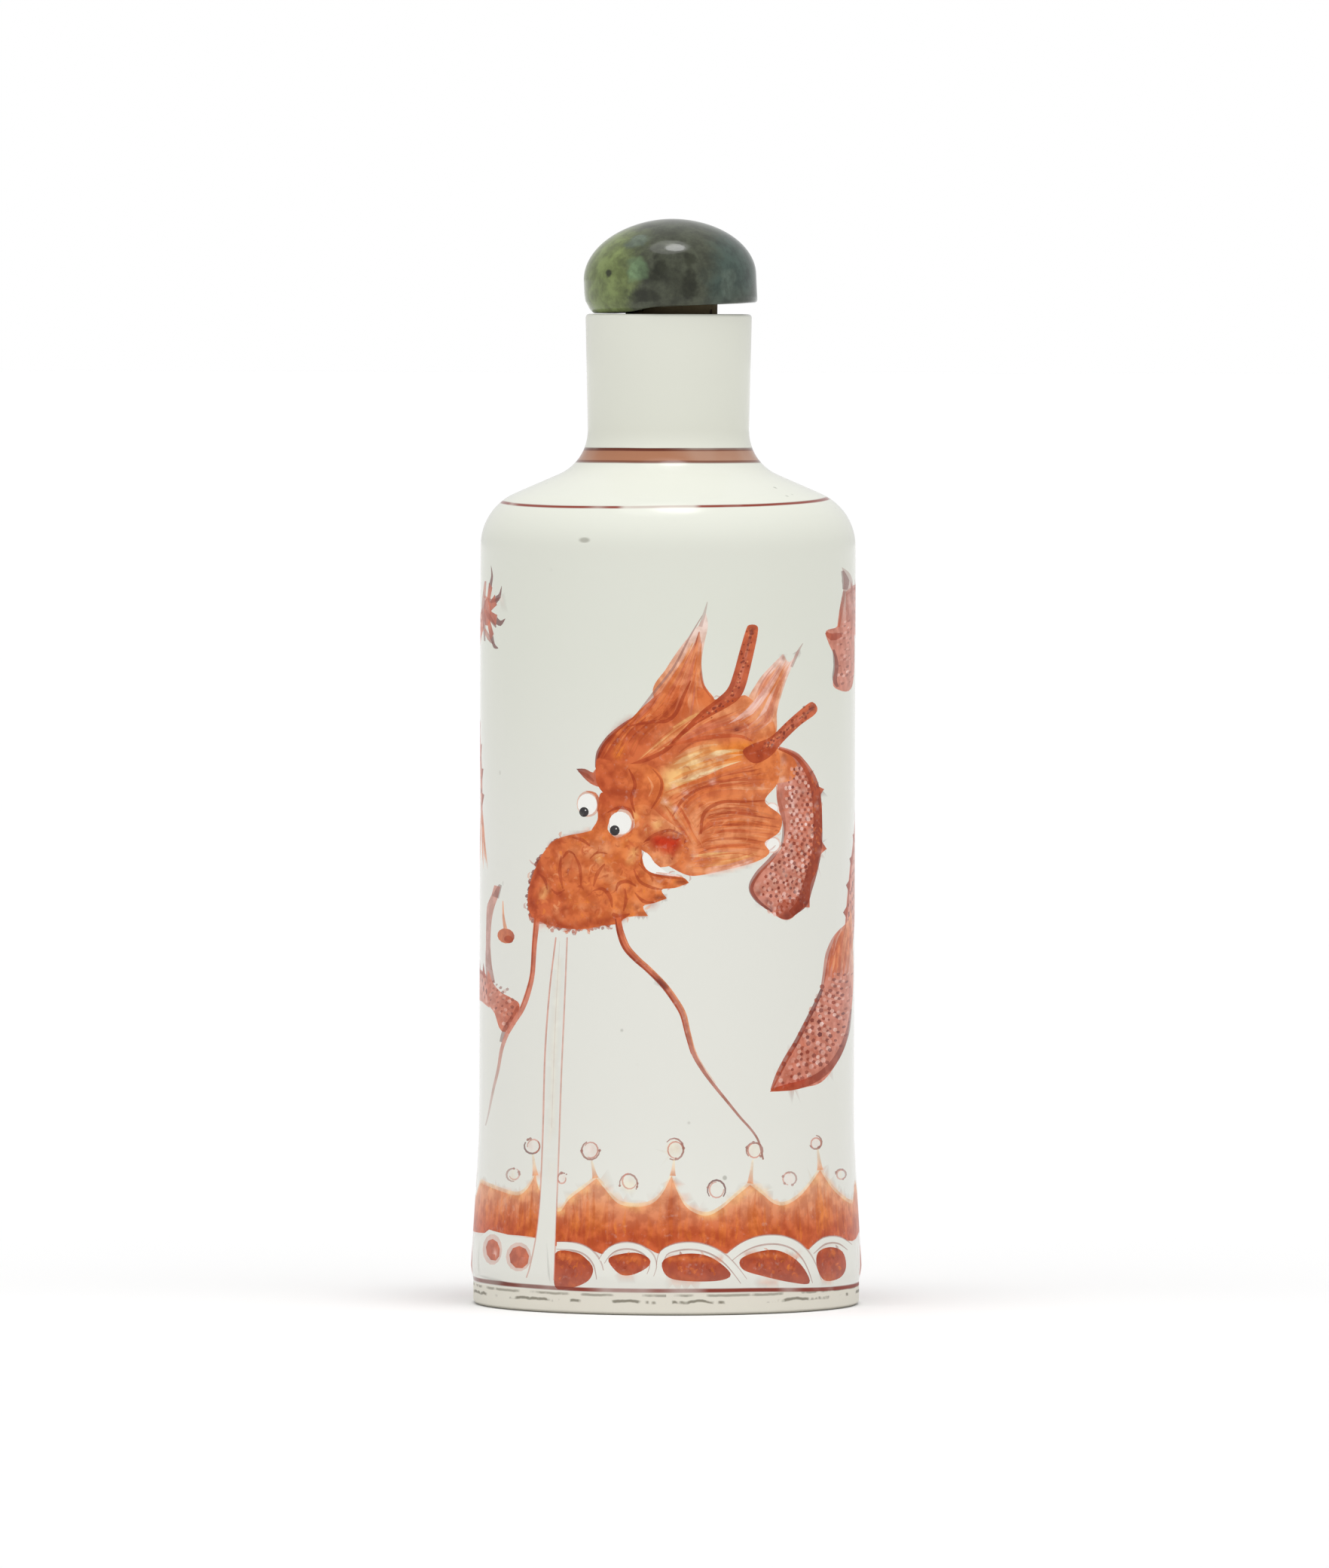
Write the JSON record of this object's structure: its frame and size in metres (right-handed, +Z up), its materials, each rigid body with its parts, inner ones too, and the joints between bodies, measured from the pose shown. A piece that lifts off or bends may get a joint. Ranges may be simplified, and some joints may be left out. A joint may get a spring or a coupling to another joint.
{
  "type": "snuff bottle",
  "caption": "Cylindrical porcelain snuff bottle with a short neck, painted in iron red with a dragon over waves, closed by a domed green stone stopper on a cork.",
  "frame": {"origin": "middle of the foot ring's underside, on the surface that the bottle stands on", "axes": "+Z up along the bottle's axis, -Y towards the front with the dragon's head, +X to the viewer's right"},
  "size_m": [0.0312, 0.0312, 0.0869],
  "materials": {
    "porcelain": "glossy off-white glaze, faintly grey-green at the neck, painted over the glaze in iron red, with black and white eyes and an ivory foot band",
    "green_stone": "polished dark green stone, mottled from olive on the left to grey teal on the right",
    "cork": "dry brown cork with dark pores"
  },
  "bodies": {
    "root": {"bottle": "porcelain", "stopper_cap": "green_stone", "stopper_cork": "cork"}
  },
  "joints": []
}
